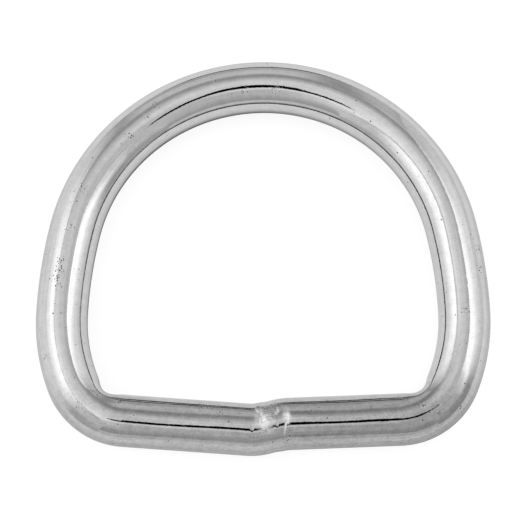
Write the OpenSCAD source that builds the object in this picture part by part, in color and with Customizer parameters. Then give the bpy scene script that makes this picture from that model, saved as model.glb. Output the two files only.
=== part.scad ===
/* [Opening] */
// Clear width inside the ring at its widest, between the two legs
inside_w = 40.5; // [32:0.5:50]
// Clear height inside the ring, from the crown of the bow to the ends of the bar
inside_h = 34.2; // [28:0.2:42]

/* [Wire] */
// Diameter of the round wire
wire_d = 6; // [4:0.1:8]

/* [Bends] */
// Inside radius of the two corners where the bar begins
corner_r = 3.8; // [2:0.1:6]
// Inside radius of the haunches, which draw the legs in above the corners
haunch_r = 17.7; // [14:0.1:24]
// Angle that each half of the bow turns through
bow_turn = 77; // [70:0.5:80]
// Angle that each long, slightly bowed leg turns through
leg_turn = 10.5; // [6:0.5:14]
// Angle that each haunch turns through
haunch_turn = 24; // [16:0.5:30]

/* [Bar] */
// How far the bar sags away from the bow by the time it reaches the weld
bar_sag = 1.15; // [0:0.05:2]
// How far the two ends of the wire missed each other when they were welded
weld_step = 0.7; // [0.2:0.05:1.2]
// Length of the slanting stretch that joins the two ends
weld_len = 3.6; // [3:0.1:6]
// Distance of the weld's middle from the middle of the ring, toward +X
weld_off = 0.8; // [-3:0.1:3]
// Centreline radius of the slight bends at both ends of the weld
weld_bend_r = 5; // [3:0.5:8]
// Width of the shallow neck where the flash was trimmed off the weld
neck_w = 1.8; // [1:0.1:2]
// Depth of that neck below the wire's surface
neck_depth = 0.12; // [0.05:0.01:0.3]

/* [Hidden] */
$fn = 96;
finish = "silver";

wire_r = wire_d / 2;

// Every second stretch of the ring is thinner by a hair and its ends are tucked this far into
// its neighbours, so that two stretches never share one skin
tuck_step = 0.005;
tuck_len = 0.1;

// Everything below is laid out on the wire's centreline, so its radii are half a wire larger
corner_mid_r = corner_r + wire_r;
haunch_mid_r = haunch_r + wire_r;
half_w = inside_w / 2 + wire_r;
height = inside_h + wire_d;

// Angles, seen from each arc's own centre, at which the right half passes from arc to arc
bow_end = 90 - bow_turn;
leg_end = bow_end - leg_turn;
haunch_end = leg_end - haunch_turn;

// The bow's and the legs' radii are the two that give the ring its set width and height:
//   bow_mid_r * w_bow + leg_mid_r * w_leg = w_left
//   bow_mid_r * h_bow + leg_mid_r * h_leg = h_left
w_bow = cos(bow_end);
w_leg = cos(leg_end) - cos(bow_end);
w_left = half_w - haunch_mid_r * (1 - cos(leg_end));
h_bow = 1 - sin(bow_end);
h_leg = sin(bow_end) - sin(leg_end);
h_left = height
    - haunch_mid_r * (sin(leg_end) - sin(haunch_end))
    - corner_mid_r * (1 + sin(haunch_end));
determinant = w_bow * h_leg - w_leg * h_bow;
bow_mid_r = (w_left * h_leg - w_leg * h_left) / determinant;
leg_mid_r = (w_bow * h_left - h_bow * w_left) / determinant;

// Centres of the right half's arcs, with the bow's own centre at the origin of the layout
leg_c = (bow_mid_r - leg_mid_r) * heading(bow_end);
haunch_c = leg_c + (leg_mid_r - haunch_mid_r) * heading(leg_end);
corner_c = haunch_c + (haunch_mid_r - corner_mid_r) * heading(haunch_end);
bar_y = corner_c[1] - corner_mid_r;

// Ends of the weld's slanting stretch, where its two bends would meet as sharp corners
weld_a = [weld_off - weld_len / 2, bar_y - bar_sag];
weld_b = [weld_off + weld_len / 2, bar_y - bar_sag + weld_step];

// Headings of the bar's left half, the weld and the bar's right half, from -X to +X
left_slope = tangent_slope(mirrored(corner_c), weld_a);
right_slope = -tangent_slope(mirrored(corner_c), mirrored(weld_b));
weld_slope = atan2(weld_b[1] - weld_a[1], weld_b[0] - weld_a[0]);

// Length that each slight bend takes from the lines on both sides of it
bend_a_cut = weld_bend_r * tan((weld_slope - left_slope) / 2);
bend_b_cut = weld_bend_r * tan((weld_slope - right_slope) / 2);
bend_a_c = weld_a - bend_a_cut * heading(left_slope) + weld_bend_r * heading(left_slope + 90);
bend_b_c = weld_b - bend_b_cut * heading(weld_slope) + weld_bend_r * heading(weld_slope - 90);

// Points where the bar's straight stretches start and end, from -X to +X
left_start = mirrored(corner_c) + corner_mid_r * heading(left_slope - 90);
left_end = weld_a - bend_a_cut * heading(left_slope);
weld_start = weld_a + bend_a_cut * heading(weld_slope);
weld_end = weld_b - bend_b_cut * heading(weld_slope);
right_start = weld_b + bend_b_cut * heading(right_slope);
right_end = corner_c + corner_mid_r * heading(right_slope - 90);

// The neck sits in the middle of the weld's straight stretch, clear of the tucked ends of the
// bends, and is as wide as fits there
weld_run = norm(weld_end - weld_start);
neck_fit_w = min(neck_w, weld_run - 4 * tuck_len);
neck_curve_r = (pow(neck_fit_w / 2, 2) + pow(neck_depth, 2)) / (2 * neck_depth);

// The ring lies on Z = 0, and X = 0, Y = 0 is the middle of its outer box
crown_y = bow_mid_r + wire_r;
foot_y = bend_a_c[1] - weld_bend_r - wire_r + tuck_step;
mid_y = (crown_y + foot_y) / 2;

// Unit vector at an angle from +X
function heading(angle) = [cos(angle), sin(angle)];

// The same point in the ring's other half
function mirrored(p) = [-p[0], p[1]];

// Slope of the line that leaves the bottom of a corner's arc, to its right, and reaches p
function tangent_slope(centre, p) =
    let (away = p - centre)
    atan2(away[1], away[0]) + asin(corner_mid_r / norm(away));

// A bend in the wire, from one angle round its centre to another
module bent_wire(centre, mid_r, from, to, r = wire_r) {
    translate([centre[0], centre[1], 0])
        rotate([0, 0, from])
            rotate_extrude(angle = to - from)
                translate([mid_r, 0])
                    circle(r = r);
}

// A bend whose two ends are tucked into the stretches before and after it
module tucked_bend(centre, mid_r, from, to) {
    tuck_angle = tuck_len / mid_r * 180 / PI;
    bent_wire(centre, mid_r, from - tuck_angle, to + tuck_angle, wire_r - tuck_step);
}

// Sets what is drawn along +Z on its way from a to b
module along(a, b) {
    translate([a[0], a[1], 0])
        rotate([0, 0, atan2(b[1] - a[1], b[0] - a[0])])
            rotate([0, 90, 0])
                children();
}

// A straight stretch of wire from a to b
module straight_wire(a, b) {
    along(a, b) cylinder(d = wire_d, h = norm(b - a));
}

// Bow, with the leg, the haunch and the corner on each side of it
module bow_and_sides() {
    bent_wire([0, 0], bow_mid_r, bow_end, 180 - bow_end);
    tucked_bend(leg_c, leg_mid_r, leg_end, bow_end);
    tucked_bend(mirrored(leg_c), leg_mid_r, 180 - bow_end, 180 - leg_end);
    bent_wire(haunch_c, haunch_mid_r, haunch_end, leg_end);
    bent_wire(mirrored(haunch_c), haunch_mid_r, 180 - leg_end, 180 - haunch_end);
    tucked_bend(corner_c, corner_mid_r, right_slope - 90, haunch_end);
    tucked_bend(mirrored(corner_c), corner_mid_r, 180 - haunch_end, 270 + left_slope);
}

// The bar's two halves, which lean away from the bow and lead to the weld
module bar() {
    straight_wire(left_start, left_end);
    tucked_bend(bend_a_c, weld_bend_r, left_slope - 90, weld_slope - 90);
    tucked_bend(bend_b_c, weld_bend_r, right_slope + 90, weld_slope + 90);
    straight_wire(right_start, right_end);
}

// Butt weld on the slant between the two ends, with a shallow neck all round it
module weld() {
    along(weld_start, weld_end)
        rotate_extrude()
            difference() {
                square([wire_r, weld_run]);
                translate([wire_r - neck_depth + neck_curve_r, weld_run / 2])
                    circle(r = neck_curve_r, $fn = 360);
            }
}

// The whole ring: one wire, bent round and welded to itself
module ring() {
    color(finish)
        translate([0, -mid_y, wire_r])
            union() {
                bow_and_sides();
                bar();
                weld();
            }
}

ring();
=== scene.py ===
import math

import bpy
from mathutils import Matrix, Vector


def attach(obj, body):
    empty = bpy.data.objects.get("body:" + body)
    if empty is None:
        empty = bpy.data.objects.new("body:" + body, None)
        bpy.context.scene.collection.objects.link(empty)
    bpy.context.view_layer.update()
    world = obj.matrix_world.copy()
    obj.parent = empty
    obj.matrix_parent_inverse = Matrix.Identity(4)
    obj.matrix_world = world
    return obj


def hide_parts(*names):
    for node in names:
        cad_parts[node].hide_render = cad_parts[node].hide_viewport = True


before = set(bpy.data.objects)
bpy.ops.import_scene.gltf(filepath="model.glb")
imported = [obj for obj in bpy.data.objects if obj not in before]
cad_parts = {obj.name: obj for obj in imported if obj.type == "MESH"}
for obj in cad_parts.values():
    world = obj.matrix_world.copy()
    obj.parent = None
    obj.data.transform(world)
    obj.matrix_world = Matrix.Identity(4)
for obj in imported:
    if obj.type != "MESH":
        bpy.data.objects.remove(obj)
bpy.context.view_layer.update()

MM = 0.001

# Sizes of the ring, in millimetres and degrees, as in the CAD source
INSIDE_W = 40.5
INSIDE_H = 34.2
WIRE_D = 6.0
CORNER_R = 3.8
HAUNCH_R = 17.7
BOW_TURN = 77.0
LEG_TURN = 10.5
HAUNCH_TURN = 24.0
BAR_SAG = 1.15
WELD_STEP = 0.7
WELD_LEN = 3.6
WELD_OFF = 0.8
WELD_BEND_R = 5.0
NECK_W = 1.8
TUCK_STEP = 0.005
WIRE_R = WIRE_D / 2

# How finely the wire is drawn: sides round it, then millimetres from one station to the next in
# the bends, along the bar and at the weld, and how far past the weld's bends these last go on
SIDES = 144
BEND_STEP = 0.26
BAR_STEP = 0.4
WELD_STATION_STEP = 0.08
FINE_REACH = 4.5


def linear(colour):
    """An sRGB hex colour as the linear values that Blender takes."""
    parts = [int(colour[i:i + 2], 16) / 255 for i in (1, 3, 5)]
    return [p / 12.92 if p <= 0.04045 else ((p + 0.055) / 1.055) ** 2.4 for p in parts] + [1.0]


def add(tree, kind, settings=None, links=None):
    """Adds a node. A setting is a property's name or an input's name or number."""
    node = tree.nodes.new(kind)
    for name, value in (settings or {}).items():
        if isinstance(name, str) and hasattr(node, name):
            setattr(node, name, value)
        else:
            node.inputs[name].default_value = value
    for name, socket in (links or {}).items():
        tree.links.new(socket, node.inputs[name])
    return node


def measure_oval(tree, place, centre, half, turn=0.0):
    """How far a place is from an oval's centre: 1 on its edge. Turn is in degrees."""
    local = add(tree, "ShaderNodeVectorMath", {"operation": "SUBTRACT", 1: (*centre, 0)},
                {0: place}).outputs[0]
    turned = add(tree, "ShaderNodeVectorRotate",
                 {"rotation_type": "Z_AXIS", "Angle": math.radians(turn)},
                 {"Vector": local}).outputs[0]
    scaled = add(tree, "ShaderNodeVectorMath",
                 {"operation": "MULTIPLY", 1: (1 / half[0], 1 / half[1], 0)},
                 {0: turned}).outputs[0]
    return add(tree, "ShaderNodeVectorMath", {"operation": "LENGTH"},
               {0: scaled}).outputs["Value"]


def heading(angle):
    """Unit vector at an angle in degrees from +X."""
    return Vector((math.cos(math.radians(angle)), math.sin(math.radians(angle))))


def mirrored(point):
    """The same point in the ring's other half."""
    return Vector((-point.x, point.y))


def lay_out_wire():
    """The wire's centreline as stretches in turn, from the weld's middle toward +X and round:
    each one's length, its step between stations and its points by share of the way."""
    corner_mid_r, haunch_mid_r = CORNER_R + WIRE_R, HAUNCH_R + WIRE_R
    half_w, height = INSIDE_W / 2 + WIRE_R, INSIDE_H + WIRE_D

    # The bow's and the legs' radii are the two that give the ring its set width and height
    bow_end = 90 - BOW_TURN
    leg_end = bow_end - LEG_TURN
    haunch_end = leg_end - HAUNCH_TURN
    bow, leg, haunch = heading(bow_end), heading(leg_end), heading(haunch_end)
    w_bow, w_leg = bow.x, leg.x - bow.x
    h_bow, h_leg = 1 - bow.y, bow.y - leg.y
    w_left = half_w - haunch_mid_r * (1 - leg.x)
    h_left = height - haunch_mid_r * (leg.y - haunch.y) - corner_mid_r * (1 + haunch.y)
    determinant = w_bow * h_leg - w_leg * h_bow
    bow_mid_r = (w_left * h_leg - w_leg * h_left) / determinant
    leg_mid_r = (w_bow * h_left - h_bow * w_left) / determinant

    # Centres of the right half's arcs
    leg_c = (bow_mid_r - leg_mid_r) * bow
    haunch_c = leg_c + (leg_mid_r - haunch_mid_r) * leg
    corner_c = haunch_c + (haunch_mid_r - corner_mid_r) * haunch

    # Ends of the weld's slanting stretch, where its two bends would meet as sharp corners
    bar_y = corner_c.y - corner_mid_r
    weld_a = Vector((WELD_OFF - WELD_LEN / 2, bar_y - BAR_SAG))
    weld_b = Vector((WELD_OFF + WELD_LEN / 2, bar_y - BAR_SAG + WELD_STEP))

    def tangent_slope(centre, point):
        away = point - centre
        return math.degrees(math.atan2(away.y, away.x) + math.asin(corner_mid_r / away.length))

    left_slope = tangent_slope(mirrored(corner_c), weld_a)
    right_slope = -tangent_slope(mirrored(corner_c), mirrored(weld_b))
    weld_slope = math.degrees(math.atan2(weld_b.y - weld_a.y, weld_b.x - weld_a.x))

    # Slight bends at both ends of the weld, and the straight stretches between all bends
    a_cut = WELD_BEND_R * math.tan(math.radians(weld_slope - left_slope) / 2)
    b_cut = WELD_BEND_R * math.tan(math.radians(weld_slope - right_slope) / 2)
    a_c = weld_a - a_cut * heading(left_slope) + WELD_BEND_R * heading(left_slope + 90)
    b_c = weld_b - b_cut * heading(weld_slope) + WELD_BEND_R * heading(weld_slope - 90)
    left_start = mirrored(corner_c) + corner_mid_r * heading(left_slope - 90)
    left_end = weld_a - a_cut * heading(left_slope)
    weld_start = weld_a + a_cut * heading(weld_slope)
    weld_end = weld_b - b_cut * heading(weld_slope)
    right_start = weld_b + b_cut * heading(right_slope)
    right_end = corner_c + corner_mid_r * heading(right_slope - 90)
    weld_mid = (weld_start + weld_end) / 2
    fine_right = right_start + FINE_REACH * heading(right_slope)
    fine_left = left_end - FINE_REACH * heading(left_slope)

    # The middle of the ring's outer box is at Y = 0
    foot_y = a_c.y - WELD_BEND_R - WIRE_R + TUCK_STEP
    shift = Vector((0, -(bow_mid_r + WIRE_R + foot_y) / 2))

    def straight(a, b, step):
        return (b - a).length, step, lambda d: a.lerp(b, d) + shift

    def bend(centre, radius, start, end, step=BEND_STEP):
        def at(d):
            return centre + radius * heading(start + (end - start) * d) + shift
        return radius * abs(math.radians(end - start)), step, at

    fine = WELD_STATION_STEP
    return (
        straight(weld_mid, weld_end, fine),
        bend(b_c, WELD_BEND_R, weld_slope + 90, right_slope + 90, fine),
        straight(right_start, fine_right, fine),
        straight(fine_right, right_end, BAR_STEP),
        bend(corner_c, corner_mid_r, right_slope - 90, haunch_end),
        bend(haunch_c, haunch_mid_r, haunch_end, leg_end),
        bend(leg_c, leg_mid_r, leg_end, bow_end),
        bend(Vector((0, 0)), bow_mid_r, bow_end, 180 - bow_end),
        bend(mirrored(leg_c), leg_mid_r, 180 - bow_end, 180 - leg_end),
        bend(mirrored(haunch_c), haunch_mid_r, 180 - leg_end, 180 - haunch_end),
        bend(mirrored(corner_c), corner_mid_r, 180 - haunch_end, 270 + left_slope),
        straight(left_start, fine_left, BAR_STEP),
        straight(fine_left, left_end, fine),
        bend(a_c, WELD_BEND_R, left_slope - 90, weld_slope - 90, fine),
        straight(weld_start, weld_mid, fine),
    )


def draw_centreline():
    """A closed line of stations along the wire's middle, each with its distance from the weld,
    and the wire's whole length in millimetres."""
    stretches = lay_out_wire()
    total = sum(length for length, step, at in stretches)
    points, along, before = [], [], 0.0
    for length, step, at in stretches:
        count = math.ceil(length / step)
        for i in range(count):
            p = at(i / count)
            points.append((p.x * MM, p.y * MM, WIRE_R * MM))
            travelled = before + length * i / count
            along.append(travelled if travelled < total / 2 else travelled - total)
        before += length
    mesh = bpy.data.meshes.new("wire centreline")
    edges = [(i, (i + 1) % len(points)) for i in range(len(points))]
    mesh.from_pydata(points, edges, [])
    mesh.attributes.new("along", "FLOAT", "POINT").data.foreach_set("value", along)
    return mesh, total


# Dents in the wire. Each is an oval: name, flank, along the wire from the weld's middle and round
# it from its top toward the ring's outside, half its length along and across, turn in degrees and
# depth, in millimetres. Bending left the bar a little flat in its halves and more so at its ends,
# and pressed in the insides of both corners. Pressing, trimming and filing left short dents with
# straight flanks round the butt weld
DENTS = (
    ("flat, left half of the bar", "SMOOTHSTEP", (-12, -1.4), (9, 3.0), 0, 0.09),
    ("flat, left end of the bar", "SMOOTHSTEP", (-21.2, 2.0), (5, 4.0), 0, 0.23),
    ("flat, right half of the bar", "SMOOTHSTEP", (8, -1.8), (7, 2.8), 0, 0.10),
    ("flat, right end of the bar", "SMOOTHSTEP", (18.8, 1.9), (5.5, 4.0), 0, 0.27),
    ("inside of the left corner", "SMOOTHSTEP", (-20.8, -4.7), (3.7, 3.4), 0, 0.58),
    ("inside of the right corner", "SMOOTHSTEP", (18.8, -4.7), (3.7, 3.4), 0, 0.56),
    ("left edge of the bead", "LINEAR", (-0.95, -0.85), (0.50, 2.3), 9, 0.15),
    ("right edge of the bead", "LINEAR", (1.90, -0.35), (0.27, 1.3), 0, 0.075),
    ("nick by the right edge", "LINEAR", (0.80, -0.75), (0.20, 0.34), 0, 0.05),
    ("nick in the middle", "LINEAR", (0.66, 0.50), (0.17, 0.5), -12, 0.04),
    ("nick before the weld", "LINEAR", (-2.16, 0.45), (0.17, 0.6), 0, 0.04),
    ("file scratch", "LINEAR", (1.60, 0.95), (0.10, 1.1), -20, 0.025),
)
# What the wire is swept with, in millimetres but for the radius, which is in metres. The neck is
# shallower than the solid's, because the dents at the bead's edges add to it. The waves run all
# over, and the grain is at the weld
SWEEP = {
    "Wire radius": WIRE_R * MM, "Sides": SIDES, "Neck width": NECK_W, "Neck depth": 0.04,
    "Wave height": 0.006, "Wave length": 5.0, "Weld reach": 3.2, "Weld grain height": 0.014,
    "Weld grain size": 0.7, "Seed": 4,
}


def name_sockets(tree):
    """The sweep's inputs and its output."""
    face = tree.interface
    face.new_socket("Geometry", in_out="OUTPUT", socket_type="NodeSocketGeometry")
    face.new_socket("Centreline", in_out="INPUT", socket_type="NodeSocketGeometry")
    for name, value in SWEEP.items():
        kind = "NodeSocketInt" if isinstance(value, int) else "NodeSocketFloat"
        face.new_socket(name, in_out="INPUT", socket_type=kind)
    face.new_socket("Plating", in_out="INPUT", socket_type="NodeSocketMaterial")


def sweep_section(tree, sizes):
    """Sweeps a round section along the centreline. Each point of the tube keeps the wire's middle
    and course beside it."""
    curve = add(tree, "GeometryNodeMeshToCurve", links={0: sizes["Centreline"]})
    upright = add(tree, "GeometryNodeSetCurveNormal", {"mode": "Z_UP"}, {0: curve.outputs[0]})
    kept = add(tree, "GeometryNodeCaptureAttribute", {"domain": "POINT"},
               {0: upright.outputs[0]})
    kept.capture_items.new("VECTOR", "middle")
    kept.capture_items.new("VECTOR", "course")
    tree.links.new(add(tree, "GeometryNodeInputPosition").outputs[0], kept.inputs[1])
    tree.links.new(add(tree, "GeometryNodeInputTangent").outputs[0], kept.inputs[2])
    section = add(tree, "GeometryNodeCurvePrimitiveCircle", {"mode": "RADIUS"},
                  {"Resolution": sizes["Sides"], "Radius": sizes["Wire radius"]})
    tube = add(tree, "GeometryNodeCurveToMesh", links={
        "Curve": kept.outputs[0], "Profile Curve": section.outputs[0]})
    return tube.outputs[0], kept.outputs[1], kept.outputs[2]


def look_outward(tree, position, middle, course):
    """The way from the wire's middle to a point on it, and how far that goes sideways, toward the
    ring's outside, and upward."""
    spoke = add(tree, "ShaderNodeVectorMath", {"operation": "SUBTRACT"},
                {0: position, 1: middle}).outputs[0]
    outward = add(tree, "ShaderNodeVectorMath", {"operation": "NORMALIZE"},
                  {0: spoke}).outputs[0]
    aside = add(tree, "ShaderNodeVectorMath", {"operation": "CROSS_PRODUCT", 1: (0, 0, 1)},
                {0: course}).outputs[0]
    sideways = add(tree, "ShaderNodeVectorMath", {"operation": "DOT_PRODUCT"},
                   {0: outward, 1: aside}).outputs["Value"]
    upward = add(tree, "ShaderNodeSeparateXYZ", links={0: outward}).outputs[2]
    return outward, sideways, upward


def press_dents(tree, sizes, away, place):
    """Depth, in millimetres, of the neck where the flash was trimmed and of each dent."""
    half_neck = add(tree, "ShaderNodeMath", {"operation": "DIVIDE", 1: 2},
                    {0: sizes["Neck width"]}).outputs[0]
    depth = add(tree, "ShaderNodeMapRange", {"interpolation_type": "SMOOTHERSTEP", "To Max": 0},
                {"Value": away, "From Max": half_neck, "To Min": sizes["Neck depth"]}
                ).outputs[0]
    for name, flank, centre, half, turn, deep in DENTS:
        off = measure_oval(tree, place, centre, half, turn)
        dent = add(tree, "ShaderNodeMapRange",
                   {"interpolation_type": flank, "To Min": deep, "To Max": 0, "label": name},
                   {"Value": off}).outputs[0]
        depth = add(tree, "ShaderNodeMath", {"operation": "ADD"},
                    {0: depth, 1: dent}).outputs[0]
    return depth


def ripple(tree, sizes, in_mm, detail, length):
    """Noise whose waves have the length that the named input gives."""
    count = add(tree, "ShaderNodeMath", {"operation": "DIVIDE", 0: 1},
                {1: sizes[length]}).outputs[0]
    return add(tree, "ShaderNodeTexNoise", {"noise_dimensions": "4D", "Detail": detail},
               {"Vector": in_mm, "W": sizes["Seed"], "Scale": count}).outputs[0]


def roughen(tree, sizes, depth, position, near_weld):
    """Adds slow waves all over, from bending and barrel-polishing, and a grain at the weld."""
    in_mm = add(tree, "ShaderNodeVectorMath", {"operation": "SCALE", "Scale": 1 / MM},
                {0: position}).outputs[0]
    wave = ripple(tree, sizes, in_mm, 1, "Wave length")
    depth = add(tree, "ShaderNodeMath", {"operation": "MULTIPLY_ADD"},
                {0: wave, 1: sizes["Wave height"], 2: depth}).outputs[0]
    grain = ripple(tree, sizes, in_mm, 2, "Weld grain size")
    grain_here = add(tree, "ShaderNodeMath", {"operation": "MULTIPLY"},
                     {0: grain, 1: near_weld}).outputs[0]
    return add(tree, "ShaderNodeMath", {"operation": "MULTIPLY_ADD"},
               {0: grain_here, 1: sizes["Weld grain height"], 2: depth}).outputs[0]


def wrap_place(tree, along, sideways, upward, total):
    """Where a point is on the wire, in millimetres that close both round and along it: two of the
    four run round the wire and two round the ring."""
    lap = add(tree, "ShaderNodeMath", {"operation": "MULTIPLY", 1: 2 * math.pi / total},
              {0: along}).outputs[0]
    lap_cos = add(tree, "ShaderNodeMath", {"operation": "COSINE"}, {0: lap}).outputs[0]
    lap_sin = add(tree, "ShaderNodeMath", {"operation": "SINE"}, {0: lap}).outputs[0]
    lap_r = total / (2 * math.pi)
    round_x, round_y, lap_x, lap_y = (
        add(tree, "ShaderNodeMath", {"operation": "MULTIPLY", 1: radius}, {0: part}).outputs[0]
        for part, radius in ((sideways, WIRE_R), (upward, WIRE_R),
                             (lap_cos, lap_r), (lap_sin, lap_r)))
    wire_place = add(tree, "ShaderNodeCombineXYZ",
                     links={0: round_x, 1: round_y, 2: lap_x}).outputs[0]
    return wire_place, lap_y


def build_sweep_tree(total):
    """Sweeps a round section along the centreline, presses all marks into it and notes for the
    material where each point is."""
    tree = bpy.data.node_groups.new("wire sweep", "GeometryNodeTree")
    name_sockets(tree)
    sizes = add(tree, "NodeGroupInput").outputs
    tube, middle, course = sweep_section(tree, sizes)

    # Place on the wire: millimetres along it, and round it from its top toward the outside
    position = add(tree, "GeometryNodeInputPosition").outputs[0]
    outward, sideways, upward = look_outward(tree, position, middle, course)
    angle = add(tree, "ShaderNodeMath", {"operation": "ARCTAN2"},
                {0: sideways, 1: upward}).outputs[0]
    around = add(tree, "ShaderNodeMath", {"operation": "MULTIPLY", 1: WIRE_R},
                 {0: angle}).outputs[0]
    along = add(tree, "GeometryNodeInputNamedAttribute", {
        "data_type": "FLOAT", "Name": "along"}).outputs[0]
    place = add(tree, "ShaderNodeCombineXYZ", links={0: along, 1: around}).outputs[0]
    away = add(tree, "ShaderNodeMath", {"operation": "ABSOLUTE"}, {0: along}).outputs[0]
    near_weld = add(tree, "ShaderNodeMapRange",
                    {"interpolation_type": "SMOOTHERSTEP", "To Min": 1, "To Max": 0},
                    {"Value": away, "From Max": sizes["Weld reach"]}).outputs[0]

    # All marks go straight in toward the wire's middle
    depth = press_dents(tree, sizes, away, place)
    depth = roughen(tree, sizes, depth, position, near_weld)
    inward = add(tree, "ShaderNodeMath", {"operation": "MULTIPLY", 1: -MM},
                 {0: depth}).outputs[0]
    push = add(tree, "ShaderNodeVectorMath", {"operation": "SCALE"},
               {0: outward, "Scale": inward}).outputs[0]
    pressed = add(tree, "GeometryNodeSetPosition", links={"Geometry": tube, "Offset": push})

    # What the material reads
    wire_place, wire_lap = wrap_place(tree, along, sideways, upward, total)
    stored = pressed.outputs[0]
    for name, data_type, value in (("wire_place", "FLOAT_VECTOR", wire_place),
                                   ("wire_lap", "FLOAT", wire_lap),
                                   ("weld_near", "FLOAT", near_weld),
                                   ("weld_place", "FLOAT_VECTOR", place)):
        stored = add(tree, "GeometryNodeStoreNamedAttribute",
                     {"data_type": data_type, "domain": "POINT", "Name": name},
                     {"Geometry": stored, "Value": value}).outputs[0]
    smooth = add(tree, "GeometryNodeSetShadeSmooth", links={0: stored})
    real = add(tree, "GeometryNodeRealizeInstances", links={0: smooth.outputs[0]})
    plated = add(tree, "GeometryNodeSetMaterial", links={
        "Geometry": real.outputs[0], "Material": sizes["Plating"]})
    add(tree, "NodeGroupOutput", links={0: plated.outputs[0]})
    return tree


def make_ring(plating):
    """The whole ring as one closed mesh."""
    line, total = draw_centreline()
    holder = bpy.data.objects.new("centreline", line)
    bpy.context.scene.collection.objects.link(holder)
    tree = build_sweep_tree(total)
    sweep = holder.modifiers.new("sweep", "NODES")
    sweep.node_group = tree
    values = {**SWEEP, "Plating": plating}
    for item in tree.interface.items_tree:
        if item.in_out == "INPUT" and item.name in values:
            sweep[item.identifier] = values[item.name]
    bpy.context.view_layer.update()
    evaluated = holder.evaluated_get(bpy.context.evaluated_depsgraph_get())
    mesh = bpy.data.meshes.new_from_object(evaluated)
    holder.modifiers.remove(sweep)
    bpy.data.objects.remove(holder)
    mesh.name = "wire ring"
    ring = bpy.data.objects.new("wire_ring", mesh)
    bpy.context.scene.collection.objects.link(ring)
    return ring


# Sizes of the plating's patterns, in millimetres. The draw lines are wider apart than real ones,
# so that they show
LINE_GAP = 0.25
LINE_LENGTH = 8.0
CLOUD_SIZE = 0.769
GRAIN_SIZE = 0.222
CRACKLE_SIZE = 0.3125
PIT_CELL = 0.238
# Facets at the weld that filing left satin, and brightened in colour as a painted highlight:
# centre, half sizes and turn, as for dents
FACETS = (
    ((-0.80, -0.15), (1.25, 1.9), 9), ((-1.25, -1.6), (0.42, 0.9), 9),
    ((1.92, -0.25), (0.62, 1.35), 0), ((1.60, 0.95), (0.26, 1.4), -20),
    ((0.80, -0.80), (0.30, 0.40), 0), ((1.05, -1.2), (0.15, 0.7), 0),
)
# Where the plating is pitted: X, Y and reach of each crop of pits, in millimetres
PIT_CROPS = (
    (-23.3, -1.2, 0.8), (-23.4, -2.2, 1.0), (-23.5, -3.2, 1.0), (-23.5, -4.2, 0.8),
    (-22.2, 2.7, 0.9), (-21.0, 7.6, 1.0), (-21.7, 5.6, 0.8), (-24.8, -12.6, 0.6),
    (-18.8, -17.1, 0.6), (-21.0, -18.3, 0.7), (-16.4, -17.7, 0.8), (-14.2, -18.1, 0.8),
    (-14.8, -19.5, 0.6), (-6.9, -18.5, 0.8), (-6.0, -18.5, 0.8), (-5.2, -18.6, 0.8),
    (-4.8, -19.5, 0.7), (5.6, -19.4, 0.9), (-0.8, -22.1, 1.0), (2.9, -22.0, 0.9),
    (15.4, -18.2, 0.8), (18.2, -18.4, 0.9), (20.2, -19.6, 0.9), (18.4, -20.2, 0.6),
    (22.6, -18.6, 0.8), (23.3, -7.4, 0.9), (25.0, -2.2, 0.9), (24.9, 0.2, 0.7),
    (24.2, 1.6, 0.7), (-15.5, 13.8, 1.0), (-13.4, 16.3, 0.9), (-12.4, 17.6, 0.9),
    (-5.6, 20.7, 0.7), (-2.0, 19.4, 0.9), (1.6, 19.5, 0.9), (0.5, 23.0, 0.7),
)
# Share of a crop's reach within which its pits are full, share of their full size that pits
# have away from every crop, and how rare a lone full one is
CROP_CORE = 0.4
STRAY_PIT = 0.16
LONE_PIT_RARITY = 70
# Radius of a full pit's rim, as a share of its cell, and of its floor, as a share of the rim's
PIT_RIM = 0.50
PIT_FLOOR = 0.6
# Painted shade on the bar, for the dimmer front of the studio that it mirrors: Y at which that
# starts and is full, and the tone there. The bar's right half is darker yet: X at which that
# starts and is full, and by how much
BAR_SHADE_START_Y, BAR_SHADE_FULL_Y, BAR_SHADE_TONE = -13.5, -19.5, 0.82
RIGHT_SHADE_START_X, RIGHT_SHADE_FULL_X, RIGHT_SHADE_EXTRA = -2, 6, 0.1
# How much more the mottle shows on the bar, and the strengths of its three parts
BAR_MOTTLE = 0.5
CLOUD_TONE, LINE_TONE, GRAIN_TONE = 0.30, 0.28, 0.20
# Where the weld's crackle starts and is full, and where its inner flank starts to be filed and
# fully is, in millimetres round the wire from its top, toward the outside. Below the filed part,
# this share of the marks is left
CRACKLE_START, CRACKLE_FULL = 0.4, -0.3
FLANK_START, FLANK_FULL, FLANK_LEFT = -2.7, -1.9, 0.1
# Where the ring's inside is darkened as painted shade, as if in the shade between ring and floor,
# in millimetres: how far above the wire's middle that starts and is full, and how far aside of
# it, toward the outside
INSIDE_SHADE_START_UP, INSIDE_SHADE_FULL_UP = 0.8, -0.5
INSIDE_SHADE_START_ASIDE, INSIDE_SHADE_FULL_ASIDE = -0.4, -1.4
# What the crackle and the facets' painted highlight add to the tone, and what pits and the
# painted shade on the inside leave of it
CRACKLE_TONE, FACET_HIGHLIGHT_TONE = 1.9, 0.8
PIT_TONE, INSIDE_SHADE_TONE = 0.15, 0.22
# How ragged the facets are, then the roughness of the mirror and of the weld, and what a facet
# adds to it
RAGGEDNESS = 2.0
MIRROR_ROUGH, WELD_ROUGH, FACET_ROUGH = 0.03, 0.09, 0.5


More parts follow.
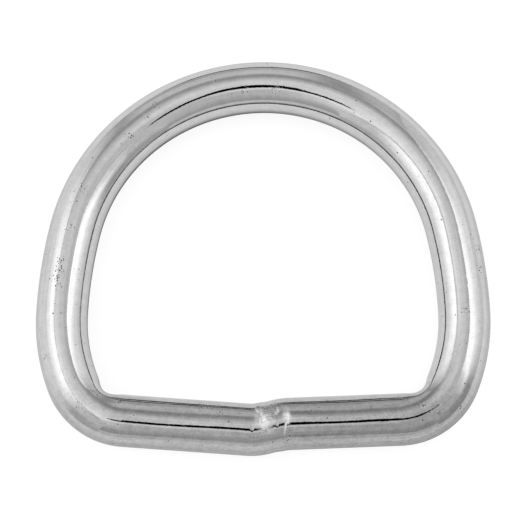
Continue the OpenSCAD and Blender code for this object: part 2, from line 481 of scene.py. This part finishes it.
def scratch_lines(tree, place):
    """Draw lines, in coordinates that run along the wire and close round the ring."""
    lap = add(tree, "ShaderNodeAttribute", {"attribute_name": "wire_lap"}).outputs["Fac"]
    across = 1 / LINE_GAP
    drawn_place = add(tree, "ShaderNodeVectorMath",
                      {"operation": "MULTIPLY", 1: (across, across, 1 / LINE_LENGTH)},
                      {0: place}).outputs[0]
    drawn_lap = add(tree, "ShaderNodeMath", {"operation": "DIVIDE", 1: LINE_LENGTH},
                    {0: lap}).outputs[0]
    return add(tree, "ShaderNodeTexNoise", {"noise_dimensions": "4D", "Scale": 1, "Detail": 2},
               {"Vector": drawn_place, "W": drawn_lap}).outputs[0]


def crackle_weld(tree, crackle, near_weld, weld_place):
    """The crackle on the inner side of the weld's top, and how satin the weld is. Down its inner
    flank, where no file reached, the plating is smooth again."""
    around = add(tree, "ShaderNodeSeparateXYZ", links={0: weld_place}).outputs[1]
    inner_side = add(tree, "ShaderNodeMapRange",
                     {"From Min": CRACKLE_START, "From Max": CRACKLE_FULL},
                     {"Value": around}).outputs[0]
    filed = add(tree, "ShaderNodeMapRange",
                {"From Min": FLANK_START, "From Max": FLANK_FULL, "To Min": FLANK_LEFT},
                {"Value": around}).outputs[0]
    for share in (near_weld, inner_side, filed):
        crackle = add(tree, "ShaderNodeMath", {"operation": "MULTIPLY"},
                      {0: crackle, 1: share}).outputs[0]
    satin = add(tree, "ShaderNodeMath", {"operation": "MULTIPLY"},
                {0: near_weld, 1: filed}).outputs[0]
    return crackle, satin


def file_facets(tree, weld_place, crackle):
    """Satin facets at the weld, a little ragged; their share also brightens the tone as a
    painted highlight.
    """
    facet = add(tree, "ShaderNodeValue").outputs[0]
    for centre, half, turn in FACETS:
        off = measure_oval(tree, weld_place, centre, half, turn)
        soft = add(tree, "ShaderNodeMapRange", {"To Min": 1, "To Max": 0},
                   {"Value": off}).outputs[0]
        facet = add(tree, "ShaderNodeMath", {"operation": "MAXIMUM"},
                    {0: facet, 1: soft}).outputs[0]
    ragged = add(tree, "ShaderNodeMath", {"operation": "MULTIPLY_ADD", 1: RAGGEDNESS, 2: 1.0},
                 {0: crackle}).outputs[0]
    return add(tree, "ShaderNodeMath", {"operation": "MULTIPLY"},
               {0: facet, 1: ragged}).outputs[0]


def scatter_pits(tree, in_mm):
    """One pit in each cell of the plating, most of them next to nothing but in a crop."""
    crops = add(tree, "ShaderNodeValue").outputs[0]
    crops.default_value = STRAY_PIT
    for x, y, reach in PIT_CROPS:
        off = measure_oval(tree, in_mm, (x, y), (reach, reach))
        crop = add(tree, "ShaderNodeMapRange", {"From Min": CROP_CORE, "To Min": 1, "To Max": 0},
                   {"Value": off}).outputs[0]
        crops = add(tree, "ShaderNodeMath", {"operation": "MAXIMUM"},
                    {0: crops, 1: crop}).outputs[0]
    cells = add(tree, "ShaderNodeTexVoronoi", {"Scale": 1 / PIT_CELL}, {"Vector": in_mm})
    luck = add(tree, "ShaderNodeSeparateColor", links={0: cells.outputs["Color"]}).outputs[0]
    lone = add(tree, "ShaderNodeMath", {"operation": "POWER", 1: LONE_PIT_RARITY},
               {0: luck}).outputs[0]
    crops = add(tree, "ShaderNodeMath", {"operation": "MAXIMUM"}, {0: crops, 1: lone}).outputs[0]
    grown = add(tree, "ShaderNodeMath", {"operation": "SQRT"}, {0: luck}).outputs[0]
    share = add(tree, "ShaderNodeMath", {"operation": "MULTIPLY"},
                {0: grown, 1: crops}).outputs[0]
    rim = add(tree, "ShaderNodeMath", {"operation": "MULTIPLY", 1: PIT_RIM},
              {0: share}).outputs[0]
    floor = add(tree, "ShaderNodeMath", {"operation": "MULTIPLY", 1: PIT_FLOOR},
                {0: rim}).outputs[0]
    return add(tree, "ShaderNodeMapRange",
               {"interpolation_type": "SMOOTHSTEP", "To Min": 1, "To Max": 0},
               {"Value": cells.outputs["Distance"], "From Min": floor, "From Max": rim}
               ).outputs[0]


def bar_painted_shade(tree, in_mm):
    """Tone of the wire, darker on the bar as painted shade, and how much more the bar's
    mottle shows.
    """
    x, y = add(tree, "ShaderNodeSeparateXYZ", links={0: in_mm}).outputs[:2]
    bar = add(tree, "ShaderNodeMapRange",
              {"interpolation_type": "SMOOTHSTEP", "From Min": BAR_SHADE_START_Y,
               "From Max": BAR_SHADE_FULL_Y, "To Min": 1, "To Max": BAR_SHADE_TONE},
              {"Value": y}).outputs[0]
    right = add(tree, "ShaderNodeMapRange",
                {"interpolation_type": "SMOOTHSTEP", "From Min": RIGHT_SHADE_START_X,
                 "From Max": RIGHT_SHADE_FULL_X, "To Min": 0, "To Max": RIGHT_SHADE_EXTRA},
                {"Value": x}).outputs[0]
    bar_share = add(tree, "ShaderNodeMapRange", {"From Min": 1, "From Max": BAR_SHADE_TONE},
                    {"Value": bar}).outputs[0]
    right_here = add(tree, "ShaderNodeMath", {"operation": "MULTIPLY"},
                     {0: right, 1: bar_share}).outputs[0]
    tone = add(tree, "ShaderNodeMath", {"operation": "SUBTRACT"},
               {0: bar, 1: right_here}).outputs[0]
    stained = add(tree, "ShaderNodeMath", {"operation": "MULTIPLY_ADD", 1: BAR_MOTTLE, 2: 1.0},
                  {0: bar_share}).outputs[0]
    return tone, stained


def shade_by(tree, tone, share, left):
    """Darkens the tone by a share. Where that is 1, only this much of the tone is left."""
    shade = add(tree, "ShaderNodeMapRange", {"To Min": 1, "To Max": left},
                {"Value": share}).outputs[0]
    return add(tree, "ShaderNodeMath", {"operation": "MULTIPLY"},
               {0: tone, 1: shade}).outputs[0]


def painted_inside_shade(tree, place):
    """Share of painted shade: the ring's inside from just above the wire's middle down, darkened
    as if in the shade between the ring and the floor."""
    aside, upward = add(tree, "ShaderNodeSeparateXYZ", links={0: place}).outputs[:2]
    below = add(tree, "ShaderNodeMapRange",
                {"interpolation_type": "SMOOTHSTEP", "From Min": INSIDE_SHADE_START_UP,
                 "From Max": INSIDE_SHADE_FULL_UP}, {"Value": upward}).outputs[0]
    inside = add(tree, "ShaderNodeMapRange",
                 {"From Min": INSIDE_SHADE_START_ASIDE, "From Max": INSIDE_SHADE_FULL_ASIDE},
                 {"Value": aside}).outputs[0]
    return add(tree, "ShaderNodeMath", {"operation": "MULTIPLY"},
               {0: below, 1: inside}).outputs[0]


def bright_nickel():
    """Bright nickel plate over drawn steel wire, barrel-polished after welding. To the eye: a
    clear mirror that wavers a little, with fine draw lines along the wire, faint clouds, crops of
    tiny dark pits and a crackled patch at the weld. Painted into its colour: shade that darkens
    the bar, a highlight on the weld's satin facets and shade on the ring's lower inside."""
    material = bpy.data.materials.new("bright nickel plate, barrel-polished")
    material.use_nodes = True
    tree = material.node_tree
    surface = tree.nodes["Principled BSDF"]
    here = add(tree, "ShaderNodeTexCoord").outputs["Object"]
    in_mm = add(tree, "ShaderNodeVectorMath", {"operation": "SCALE", "Scale": 1 / MM},
                {0: here}).outputs[0]
    place, weld_place = (
        add(tree, "ShaderNodeAttribute", {"attribute_name": name}).outputs["Vector"]
        for name in ("wire_place", "weld_place"))
    near_weld = add(tree, "ShaderNodeAttribute", {"attribute_name": "weld_near"}).outputs["Fac"]

    # Patterns
    lines = scratch_lines(tree, place)
    clouds = add(tree, "ShaderNodeTexNoise",
                 {"Scale": 1 / CLOUD_SIZE, "Detail": 4, "Roughness": 0.6},
                 {"Vector": in_mm}).outputs[0]
    grain = add(tree, "ShaderNodeTexNoise", {"Scale": 1 / GRAIN_SIZE, "Detail": 1},
                {"Vector": in_mm}).outputs[0]
    crackle = add(tree, "ShaderNodeTexNoise",
                  {"Scale": 1 / CRACKLE_SIZE, "Detail": 3, "Roughness": 0.8},
                  {"Vector": in_mm}).outputs[0]
    crackle = add(tree, "ShaderNodeMath", {"operation": "SUBTRACT", 1: 0.5},
                  {0: crackle}).outputs[0]
    crackle_here, satin = crackle_weld(tree, crackle, near_weld, weld_place)
    facet = file_facets(tree, weld_place, crackle)
    pits = scatter_pits(tree, in_mm)

    # Colour: the bar's painted shade, mottled by clouds, lines and grain, then the crackle, the
    # dark pits, the facets' painted highlight and the painted shade on the inside
    # The bar's darker tone is painted shade
    tone, stained = bar_painted_shade(tree, in_mm)
    for mottle, strength in ((clouds, CLOUD_TONE), (lines, LINE_TONE), (grain, GRAIN_TONE)):
        shift = add(tree, "ShaderNodeMath",
                    {"operation": "MULTIPLY_ADD", 1: strength, 2: -strength / 2},
                    {0: mottle}).outputs[0]
        tone = add(tree, "ShaderNodeMath", {"operation": "MULTIPLY_ADD"},
                   {0: shift, 1: stained, 2: tone}).outputs[0]
    tone = add(tree, "ShaderNodeMath", {"operation": "MULTIPLY_ADD", 1: CRACKLE_TONE},
               {0: crackle_here, 2: tone}).outputs[0]
    tone = shade_by(tree, tone, pits, PIT_TONE)
    # Painted highlight: the weld's facets brighten the tone
    tone = add(tree, "ShaderNodeMath", {"operation": "MULTIPLY_ADD", 1: FACET_HIGHLIGHT_TONE},
               {0: facet, 2: tone}).outputs[0]
    # Painted shade: the wire's lower inside is darkened
    tone = shade_by(tree, tone, painted_inside_shade(tree, place), INSIDE_SHADE_TONE)
    plate = add(tree, "ShaderNodeHueSaturation", {"Color": linear("#C1C1C1")}, {"Value": tone})
    tree.links.new(plate.outputs[0], surface.inputs["Base Color"])
    surface.inputs["Metallic"].default_value = 1.0

    # Roughness: a mirror that is a little duller at the weld and satin on its facets
    rough = add(tree, "ShaderNodeMapRange", {"To Min": MIRROR_ROUGH, "To Max": WELD_ROUGH},
                {"Value": satin}).outputs[0]
    rough = add(tree, "ShaderNodeMath", {"operation": "MULTIPLY_ADD", 1: FACET_ROUGH},
                {0: facet, 2: rough}).outputs[0]
    tree.links.new(rough, surface.inputs["Roughness"])

    # Relief, in millimetres
    relief = add(tree, "ShaderNodeValue").outputs[0]
    for height, amount in ((clouds, 0.006), (lines, 0.002), (crackle_here, 0.065),
                           (pits, -0.04)):
        relief = add(tree, "ShaderNodeMath", {"operation": "MULTIPLY_ADD", 1: amount},
                     {0: height, 2: relief}).outputs[0]
    bump = add(tree, "ShaderNodeBump", {"Strength": 1, "Distance": MM}, {"Height": relief})
    tree.links.new(bump.outputs[0], surface.inputs["Normal"])
    return material


# The floor lies a hair below the ring, and the ring's shade between them: half the floor's side
# and both levels, in millimetres
FLOOR_HALF = 3000
FLOOR_LEVEL = -0.02
SHADE_LEVEL = -0.01
# The ring's shade on the floor: distance from under the wire's middle, toward the outside, and
# brightness there. Then how far all of it lies toward the right, and from station to station
SHADE = ((-9.0, 1.0), (-6.0, 0.93), (-4.6, 0.78), (-3.3, 0.50), (-2.7, 0.03), (2.6, 0.03),
         (3.2, 0.50), (4.0, 0.72), (6.0, 0.80), (9.5, 0.96), (12.0, 1.0))
SHADE_OFF = 0.8
SHADE_STEP = 1.0


def lay_flat(name, points, faces, material):
    """A flat staged piece on the floor, its points in millimetres."""
    mesh = bpy.data.meshes.new(name)
    mesh.from_pydata([tuple(c * MM for c in p) for p in points], [], faces)
    mesh.materials.append(material)
    piece = bpy.data.objects.new(name, mesh)
    bpy.context.scene.collection.objects.link(piece)
    return piece


def opal_acrylic():
    """Opal acrylic sheet, lit from below. To the eye: matt and white, without any shine."""
    sheet = bpy.data.materials.new("opal acrylic, lit from below")
    sheet.use_nodes = True
    surface = sheet.node_tree.nodes["Principled BSDF"]
    surface.inputs["Base Color"].default_value = linear("#808080")
    surface.inputs["Roughness"].default_value = 0.9
    surface.inputs["Specular IOR Level"].default_value = 0.0
    surface.inputs["Emission Color"].default_value = linear("#FFFFFF")
    surface.inputs["Emission Strength"].default_value = 0.87
    return sheet


def build_floor():
    """A plain pale floor, wide enough to reach past every view's edge."""
    corners = [(x * FLOOR_HALF, y * FLOOR_HALF, FLOOR_LEVEL)
               for x, y in ((-1, -1), (1, -1), (1, 1), (-1, 1))]
    lay_flat("floor", corners, [(0, 1, 2, 3)], opal_acrylic())


def glowing(name):
    """A material that only gives light, and its light node, whose strength is still to be set."""
    material = bpy.data.materials.new(name)
    material.use_nodes = True
    tree = material.node_tree
    tree.nodes.remove(tree.nodes["Principled BSDF"])
    light = add(tree, "ShaderNodeEmission", {"Color": linear("#FFFFFF")})
    tree.links.new(light.outputs[0], tree.nodes["Material Output"].inputs["Surface"])
    return material, light


def lay_shade():
    """The shade that the ring stands in, as a ribbon under the wire. Only reflections see it,
    because light from below leaves none for the camera."""
    centres = []
    for length, step, at in lay_out_wire():
        count = math.ceil(length / SHADE_STEP)
        centres += [at(i / count) for i in range(count)]
    count, columns = len(centres), len(SHADE)
    points, glow = [], []
    for i, centre in enumerate(centres):
        course = (centres[(i + 1) % count] - centres[i - 1]).normalized()
        aside = Vector((course.y, -course.x))
        for off, brightness in SHADE:
            points.append((centre.x + off * aside.x + SHADE_OFF, centre.y + off * aside.y,
                           SHADE_LEVEL))
            glow.append(brightness)
    faces = []
    for i in range(count):
        for c in range(columns - 1):
            a, b = i * columns + c, (i + 1) % count * columns + c
            faces.append((a, a + 1, b + 1, b))
    shaded, light = glowing("acrylic in the ring's own shade")
    tree = shaded.node_tree
    shade = add(tree, "ShaderNodeAttribute", {"attribute_name": "glow"}).outputs["Fac"]
    tree.links.new(shade, light.inputs["Strength"])
    ribbon = lay_flat("shade_strip", points, faces, shaded)
    ribbon.data.attributes.new("glow", "FLOAT", "POINT").data.foreach_set("value", glow)
    ribbon.visible_camera = ribbon.visible_diffuse = ribbon.visible_shadow = False


# The tent round the ring: on which axis each wall and the ceiling stand and where, in millimetres
TENT = {"left": ("x", -233.0), "right": ("x", 185.0), "front": ("y", -220.0),
        "back": ("y", 336.0), "ceiling": ("z", 420.0)}
# How bright the tent is where no patch lies, and how much brighter the tent and the softboxes
# are than these values say, to suit the plating's darkness
TENT_BASE = 0.97
EXPOSURE = 1.12
# Each patch: name, brightness, then the ramps that fade it in, as axis, from, to. An axis is a
# letter or a slanting direction. An oval is a centre and half sizes in X and Y, on the ceiling.
# A later patch covers the ones before it
SKY_PATCHES = (
    ("ceiling, left", 1.36, (("x", 0, -300),)),
    ("ceiling, right", 0.76, (("x", 10, 130),)),
    ("ceiling, back", 0.41, (("y", 55, 325),)),
    ("left wall", 0.90, (("x", -228, -233),)),
    ("left wall, back corner", 0.50, (("x", -228, -233), ("y", 180, 330))),
    ("right wall", 0.76, (("x", 180, 185),)),
    ("right wall, low", 0.52, (("x", 180, 185), ("z", 160, 60))),
    ("right wall, back", 0.85, (("x", 180, 185), ("y", 60, 180))),
    ("right wall, back corner", 0.60, (("x", 180, 185), ("y", 220, 330))),
    ("back wall, edges", 0.44, (("y", 326, 336),)),
    ("back wall, middle", 0.76,
     (("y", 326, 336), ("x", -250, -150), ("x", 85, 20), ("z", 380, 270))),
    ("back wall, low", 0.56, (("y", 326, 336), ("x", -250, -150), ("x", 85, 30), ("z", 150, 80))),
    ("back wall, right end", 0.66, (("y", 326, 336), ("x", 90, 145))),
    ("back wall, foot", 0.78, (("y", 326, 336), ("z", 36, 8))),
    ("back wall, gap below", 0.06,
     (("y", 326, 336), ("x", -160, -90), ("x", 110, 50), ("z", 34, 28))),
    ("front wall", 0.70, (("y", -212, -220),)),
    ("front wall, upper left", 0.95, (("y", -212, -220), ("x", -10, -150), ("z", 90, 330))),
    ("front wall, low", 0.50, (("y", -212, -220), ("z", 230, 70))),
    ("front wall, foot", 0.77, (("y", -212, -220), ("z", 62, 46))),
    ("camera slot, middle", 0.0, ("oval", (0, -95), (61, 46))),
    ("camera slot, left end", 0.0, ("oval", (-86, -119), (62, 29))),
    ("camera slot, right end", 0.0, ("oval", (96, -111), (82, 31))),
)
# Where an oval starts and is full, as shares of its half sizes
OVAL_START, OVAL_FULL = 1.03, 0.93
# The two softboxes are panels on end. Each: name, how many times farther off and larger it is
# than what follows, the two ends of its foot, its height, its base brightness and its patches
SOFTBOXES = (
    ("left_softbox", 1.45, (-206, -300), (-206, 330), 326, 0.84, (
        ("back end", 0.53, (("y", 215, 320),)),
        ("wide", 1.02, (("y", -190, -50), ("y", 260, 150))),
        ("front, low", 0.62, (("y", -50, -190), ("z", 170, 50))),
        ("glow", 1.25, (("y", -165, -60), ("y", 205, 100), ("z", 40, 150))),
        ("core", 1.66, (("y", -140, -35), ("y", 200, 70), ("z", 60, 220))),
        ("frame", 0.40, (("z", 318, 320),)),
    )),
    ("right_softbox", 1.4, (226, -110), (136, 222), 378, 0.70, (
        ("middle", 0.86, (("y", -170, -90),)),
        ("front, low", 0.48, (("y", 10, -70), ("z", 170, 70))),
        ("back end", 0.80, (("y", 140, 200),)),
        ("low glow", 1.12, (("y", -55, 25), ("y", 200, 90), ("z", 30, 100), ("z", 240, 160))),
        ("glow", 1.20, (((0, 1, -0.5), -235, -80), ((0, 1, -0.5), 90, 0), ("z", 100, 200))),
        ("core", 1.66, (((0, 1, -0.5), -158, -88), ((0, 1, -0.5), 40, -40), ("z", 90, 200))),
        ("foot", 0.64, (("y", 60, -20), ("z", 26, 6))),
        ("frame", 0.40, (("z", 370, 372),)),
    )),
)


def paint_patches(tree, place, base, patches):
    """Brightness by place in the tent: the base, with each patch faded in over it in turn."""
    axes = dict(zip("xyz", add(tree, "ShaderNodeSeparateXYZ", links={0: place}).outputs))
    brightness = add(tree, "ShaderNodeValue").outputs[0]
    brightness.default_value = base
    for name, value, ramps in patches:
        if ramps[0] == "oval":
            ramps = ((measure_oval(tree, place, *ramps[1:]), OVAL_START, OVAL_FULL),)
        share = None
        for axis, start, end in ramps:
            if isinstance(axis, tuple):
                axis = add(tree, "ShaderNodeVectorMath", {"operation": "DOT_PRODUCT", 1: axis},
                           {0: place}).outputs["Value"]
            ramp = add(tree, "ShaderNodeMapRange",
                       {"interpolation_type": "SMOOTHSTEP", "From Min": start, "From Max": end,
                        "label": name}, {"Value": axes.get(axis, axis)}).outputs[0]
            if share is not None:
                ramp = add(tree, "ShaderNodeMath", {"operation": "MULTIPLY"},
                           {0: share, 1: ramp}).outputs[0]
            share = ramp
        brightness = add(tree, "ShaderNodeMix", {"data_type": "FLOAT", 3: value},
                         {0: share, 2: brightness}).outputs[0]
    return add(tree, "ShaderNodeMath", {"operation": "MULTIPLY", 1: EXPOSURE},
               {0: brightness}).outputs[0]


def light_studio():
    """A light tent round the ring, with a slot in its ceiling for the camera, drawn in the world
    by direction. Only reflections and light see it; the camera sees a plain pale backdrop."""
    world = bpy.data.worlds.new("light tent")
    world.use_nodes = True
    bpy.context.scene.world = world
    tree = world.node_tree
    direction = add(tree, "ShaderNodeTexCoord").outputs["Generated"]
    parts = dict(zip("xyz", add(tree, "ShaderNodeSeparateXYZ", links={0: direction}).outputs))
    nearest = None
    for axis, distance in TENT.values():
        share = add(tree, "ShaderNodeMath", {"operation": "DIVIDE", 1: distance},
                    {0: parts[axis]}).outputs[0]
        if nearest is not None:
            share = add(tree, "ShaderNodeMath", {"operation": "MAXIMUM"},
                        {0: nearest, 1: share}).outputs[0]
        nearest = share
    reach = add(tree, "ShaderNodeMath", {"operation": "DIVIDE", 0: 1}, {1: nearest}).outputs[0]
    hit = add(tree, "ShaderNodeVectorMath", {"operation": "SCALE"},
              {0: direction, "Scale": reach}).outputs[0]
    brightness = paint_patches(tree, hit, TENT_BASE, SKY_PATCHES)
    seen = add(tree, "ShaderNodeLightPath").outputs["Is Camera Ray"]
    shown = add(tree, "ShaderNodeMix", {"data_type": "FLOAT", 3: 1.0},
                {0: seen, 2: brightness}).outputs[0]
    tree.links.new(shown, tree.nodes["Background"].inputs["Strength"])
    tree.nodes["Background"].inputs["Color"].default_value = linear("#FFFFFF")


def stand_softboxes():
    """A softbox on each side of the ring, bright in its middle. The camera doesn't see them."""
    for name, scale, start, end, height, base, patches in SOFTBOXES:
        corners = ((*start, 0), (*end, 0), (*end, height), (*start, height))
        mesh = bpy.data.meshes.new(name)
        mesh.from_pydata([tuple(c * scale * MM for c in corner) for corner in corners], [],
                         [(0, 1, 2, 3)])
        panel = bpy.data.objects.new(name, mesh)
        bpy.context.scene.collection.objects.link(panel)
        cloth, light = glowing(name + " cloth")
        tree = cloth.node_tree
        here = add(tree, "ShaderNodeTexCoord").outputs["Object"]
        in_mm = add(tree, "ShaderNodeVectorMath", {"operation": "SCALE", "Scale": 1 / scale / MM},
                    {0: here}).outputs[0]
        tree.links.new(paint_patches(tree, in_mm, base, patches), light.inputs["Strength"])
        mesh.materials.append(cloth)
        panel.visible_camera = False


# How the photograph was taken: side of its square frame and the point in it that the camera aims
# at, both in pixels, then pixels to a millimetre there
FRAME_PX = 528
AIM_PX = (263.5, 262)
PX_PER_MM = 8.62
# That point, in millimetres, how far the camera is from it, how many degrees it is off the
# vertical, toward the bar, and round to the right, and how wide its sensor is
AIM = (0.077, -0.699, 3.0)
CAMERA_AWAY = 400
CAMERA_TILT = 16
CAMERA_SIDE = 4
SENSOR_WIDTH = 36


def place_camera():
    """A camera that looks down on the ring as in the photograph."""
    tilt, side = math.radians(CAMERA_TILT), math.radians(CAMERA_SIDE)
    away = Vector((math.sin(tilt) * math.sin(side), -math.sin(tilt) * math.cos(side),
                   math.cos(tilt)))
    north = Vector((0, 1, 0))
    up = (north - away * north.dot(away)).normalized()
    right = up.cross(away)
    turn = Matrix((right, up, away)).transposed().to_4x4()
    data = bpy.data.cameras.new("camera")
    camera = bpy.data.objects.new("camera", data)
    bpy.context.scene.collection.objects.link(camera)
    camera.matrix_world = Matrix.Translation((Vector(AIM) + away * CAMERA_AWAY) * MM) @ turn
    data.sensor_width = SENSOR_WIDTH
    data.lens = PX_PER_MM * CAMERA_AWAY / FRAME_PX * SENSOR_WIDTH
    data.shift_x = (FRAME_PX / 2 - AIM_PX[0]) / FRAME_PX
    data.shift_y = (AIM_PX[1] - FRAME_PX / 2) / FRAME_PX
    data.clip_start = 10 * MM
    bpy.context.scene.camera = camera
    bpy.context.scene.view_settings.view_transform = "Standard"


light_studio()
stand_softboxes()
build_floor()
lay_shade()
place_camera()

ring = make_ring(bright_nickel())
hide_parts("ring")
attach(ring, "root")
